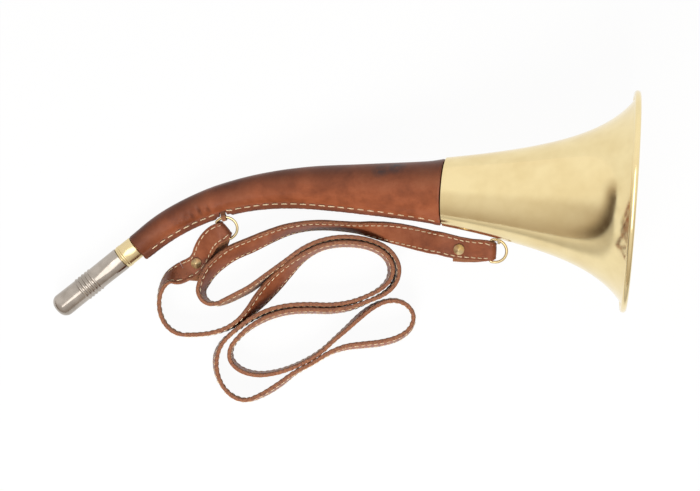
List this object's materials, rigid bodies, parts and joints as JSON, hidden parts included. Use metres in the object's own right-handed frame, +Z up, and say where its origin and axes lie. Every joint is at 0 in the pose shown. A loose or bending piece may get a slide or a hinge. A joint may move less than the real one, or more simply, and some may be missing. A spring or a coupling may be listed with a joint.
{
  "type": "bugle",
  "caption": "Leather-covered brass hunting bugle with a curved tube, nickel mouthpiece and a stitched leather carrying strap on rings.",
  "frame": {"origin": "on the surface the horn lies on, below the middle of the horn's own box (without the strap)", "axes": "+Z up, +X towards the bell and along the horn's length, +Y away from the strap's loops"},
  "size_m": [0.3552, 0.1837, 0.1219],
  "materials": {
    "brass": "polished",
    "brass_plain": "plain",
    "steel_wire": "drawn",
    "nickel_plate": "nickel-plated, polished",
    "cover_leather": "semi-gloss",
    "strap_leather": "semi-gloss",
    "cork": "natural",
    "reed_bronze": "spring-hard"
  },
  "bodies": {
    "horn": {"bell": "brass", "bell_rim_wire": "steel_wire", "tube_sleeve": "brass_plain", "body_tube": "brass_plain", "leather_cover": "cover_leather", "mouth_collar": "brass", "bell_lug": "brass", "ring_keeper": "strap_leather", "strap_main": "strap_leather"},
    "mouthpiece": {"mouthpiece": "nickel_plate"},
    "reed_unit": {"reed_shallot": "brass_plain", "reed_clamp": "brass_plain", "reed_cork": "cork"},
    "reed_tongue": {"reed_tongue": "reed_bronze"},
    "bell_ring": {"d_ring_bell": "brass", "strap_end_bell": "strap_leather", "stud_head_bell": "brass", "stud_screw_bell": "brass"},
    "cover_ring": {"d_ring_cover": "brass", "strap_end_cover": "strap_leather", "stud_head_cover": "brass", "stud_screw_cover": "brass"}
  },
  "joints": [
    {"name": "mouthpiece_slide", "type": "slide", "parent": "horn", "child": "mouthpiece", "axis": [-0.7817, -0.6236, 0.0016], "range_m": [0, 0.032]},
    {"name": "reed_slide", "type": "slide", "parent": "horn", "child": "reed_unit", "axis": [-0.7817, -0.6236, 0.0016], "range_m": [0, 0.014]},
    {"name": "reed_vibration", "type": "hinge", "parent": "reed_unit", "child": "reed_tongue", "pos_m": [-0.14677, -0.04187, 0.00849], "axis": [-0.1971, 0.2495, 0.9481], "range_deg": [-0.8, 1.5], "stiffness_Nm_per_rad": 0.02},
    {"name": "bell_ring_swing", "type": "hinge", "parent": "horn", "child": "bell_ring", "pos_m": [0.09206, -0.01903, 0.03303], "axis": [0.9733, -0.066, 0.2197], "range_deg": [-40, 30], "deforming": ["strap_main"]},
    {"name": "cover_ring_swing", "type": "hinge", "parent": "horn", "child": "cover_ring", "pos_m": [-0.07241, -0.00497, 0.01424], "axis": [0.9476, 0.2965, 0.1189], "range_deg": [-10, 25], "deforming": ["strap_main"]}
  ]
}
